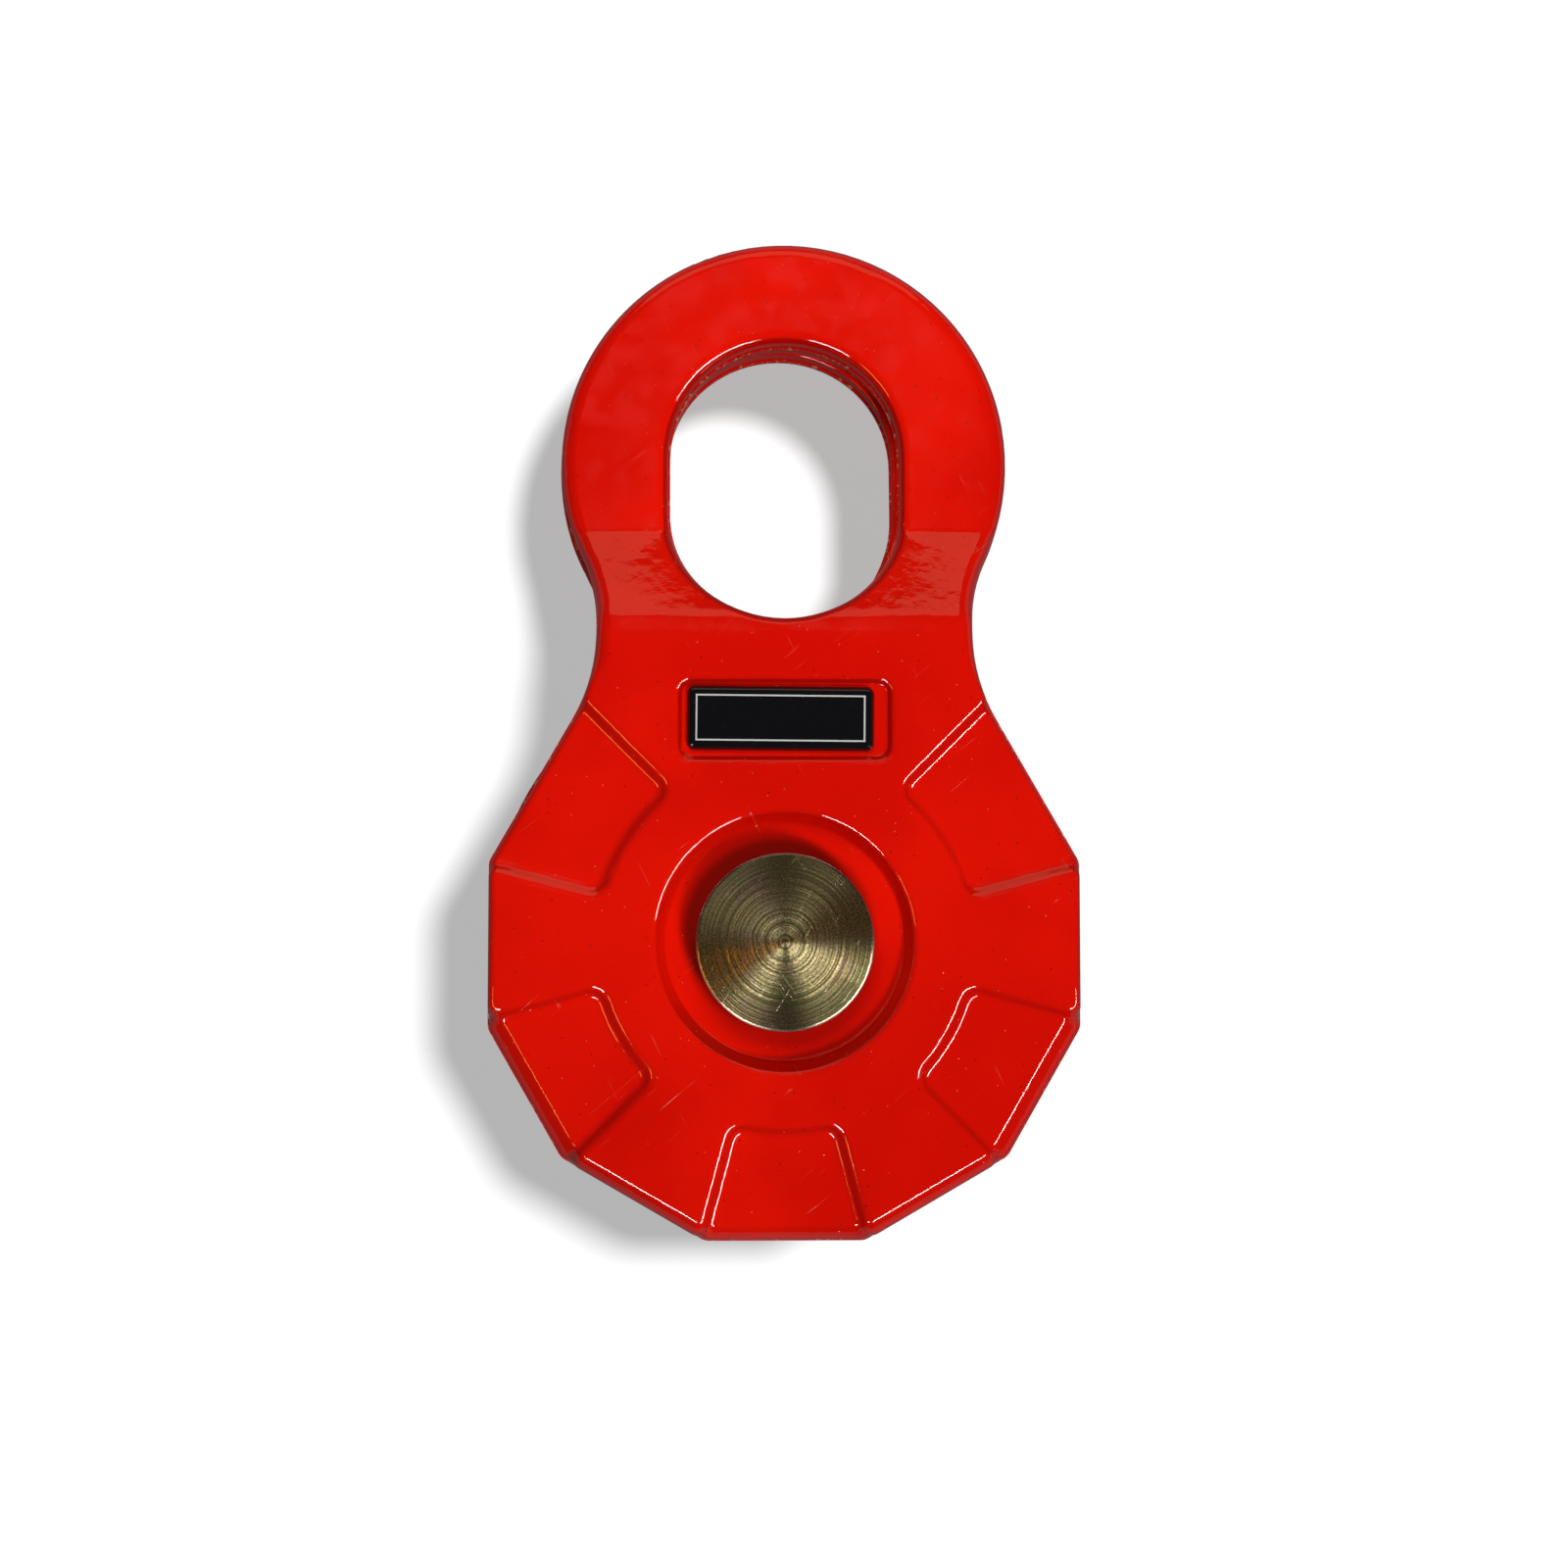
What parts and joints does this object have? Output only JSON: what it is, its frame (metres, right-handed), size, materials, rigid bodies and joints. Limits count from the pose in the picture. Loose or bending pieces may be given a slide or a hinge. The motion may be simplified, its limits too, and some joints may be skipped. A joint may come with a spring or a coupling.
{
  "type": "snatch block",
  "caption": "Snatch block for wire rope: two forged swinging cheeks with shackle eyes round a grooved sheave that turns on a headed axle pin.",
  "frame": {"origin": "on the axle's axis, at the middle of the sheave's rope groove", "axes": "+Z along the axle out of the front cheek, +Y from the axle to the shackle eye, +X to the right seen from the front"},
  "size_m": [0.124, 0.2113, 0.0479],
  "materials": {
    "red_coat": "glossy red powder coat with orange peel",
    "black_badge": "glossy domed black",
    "sheave_zinc": "yellow zinc plated, turned",
    "bronze": "machined bronze",
    "pin_zinc": "yellow zinc plated, concentric turning marks",
    "plain_steel": "bright zinc plated",
    "spring_steel": "phosphated dark spring steel",
    "ball_steel": "polished ball"
  },
  "bodies": {
    "rear_cheek": {"rear_cheek": "red_coat"},
    "axle": {"axle_pin": "pin_zinc", "front_thrust_washer": "bronze", "rear_thrust_washer": "bronze", "rear_shim_washer": "plain_steel", "circlip": "spring_steel", "grease_nipple": "plain_steel", "grease_nipple_spring": "spring_steel"},
    "front_cheek": {"front_cheek": "red_coat", "badge": "black_badge"},
    "sheave": {"sheave": "sheave_zinc", "sheave_bush": "bronze"},
    "nipple_ball": {"grease_nipple_ball": "ball_steel"}
  },
  "joints": [
    {"name": "axle_turn", "type": "hinge", "parent": "rear_cheek", "child": "axle", "pos_m": [0, 0, 0], "axis": [0, 0, 1], "continuous": true},
    {"name": "front_cheek_swing", "type": "hinge", "parent": "axle", "child": "front_cheek", "pos_m": [0, 0, 0], "axis": [0, 0, 1], "continuous": true},
    {"name": "sheave_spin", "type": "hinge", "parent": "axle", "child": "sheave", "pos_m": [0, 0, 0], "axis": [0, 0, 1], "continuous": true},
    {"name": "nipple_ball_lift", "type": "slide", "parent": "axle", "child": "nipple_ball", "axis": [0, 0, 1], "range_m": [0, 0.0006], "stiffness_N_per_m": 400, "springref_m": -0.0005, "deforming": ["grease_nipple_spring"]}
  ]
}
